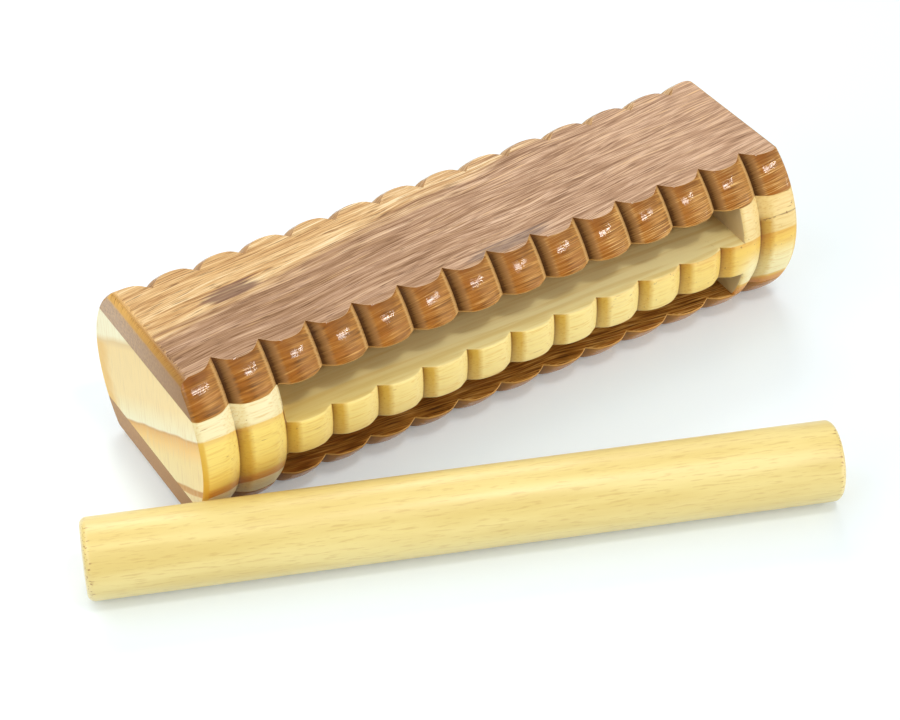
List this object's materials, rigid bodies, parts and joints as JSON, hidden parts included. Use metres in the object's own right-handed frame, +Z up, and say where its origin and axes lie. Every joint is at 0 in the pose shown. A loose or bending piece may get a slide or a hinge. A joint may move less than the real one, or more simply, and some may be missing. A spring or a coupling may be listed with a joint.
{
  "type": "reco-reco",
  "caption": "Wooden scraper instrument: a beaded barrel block of hardwood plates on a slotted pine core, played by drawing a plain round stick along its notched sides.",
  "frame": {"origin": "centre of the block's flat base, on the table", "axes": "+X along the block, from the end with the wider post to the end with the narrower one; +Y from the side where the stick lies to the other; +Z up"},
  "size_m": [0.2282, 0.1423, 0.05],
  "materials": {
    "hardwood": "varnished open-grained brown hardwood",
    "pine": "varnished pine",
    "dowel": "sanded pale dowel"
  },
  "bodies": {
    "block": {"top_plate": "hardwood", "pine_core": "pine", "bottom_plate": "hardwood"},
    "stick": {"scraper_stick": "dowel"}
  },
  "joints": [
    {"name": "stick_lift", "type": "slide", "parent": "block", "child": "stick", "axis": [-0.1767, -0.4677, 0.866], "range_m": [0, 0.12]}
  ]
}
